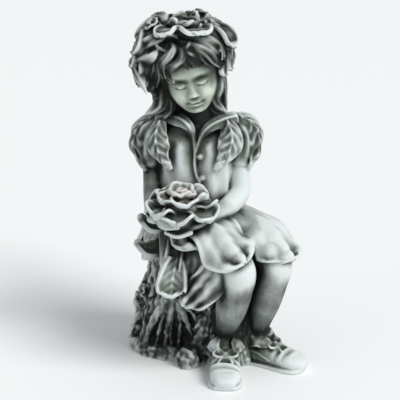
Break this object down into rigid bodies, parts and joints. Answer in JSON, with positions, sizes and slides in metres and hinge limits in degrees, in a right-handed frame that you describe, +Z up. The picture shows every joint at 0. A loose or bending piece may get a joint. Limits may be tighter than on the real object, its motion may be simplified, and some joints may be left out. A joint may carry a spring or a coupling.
{
  "type": "garden statue",
  "caption": "Cast stone garden statue of a child with a wreath of flowers, seated on a tree stump and holding an open rose.",
  "frame": {"origin": "middle of the bounding box at the ground", "axes": "+Z up; the child's chest faces -Y, and the knees and shoes point towards -Y and +X"},
  "size_m": [0.3452, 0.3249, 0.6598],
  "materials": {
    "cast_stone": "matte cast stone, antiqued: light grey on the high places, near black with a green cast in the hollows"
  },
  "bodies": {
    "root": {"flower_girl_statue": "cast_stone"}
  },
  "joints": []
}
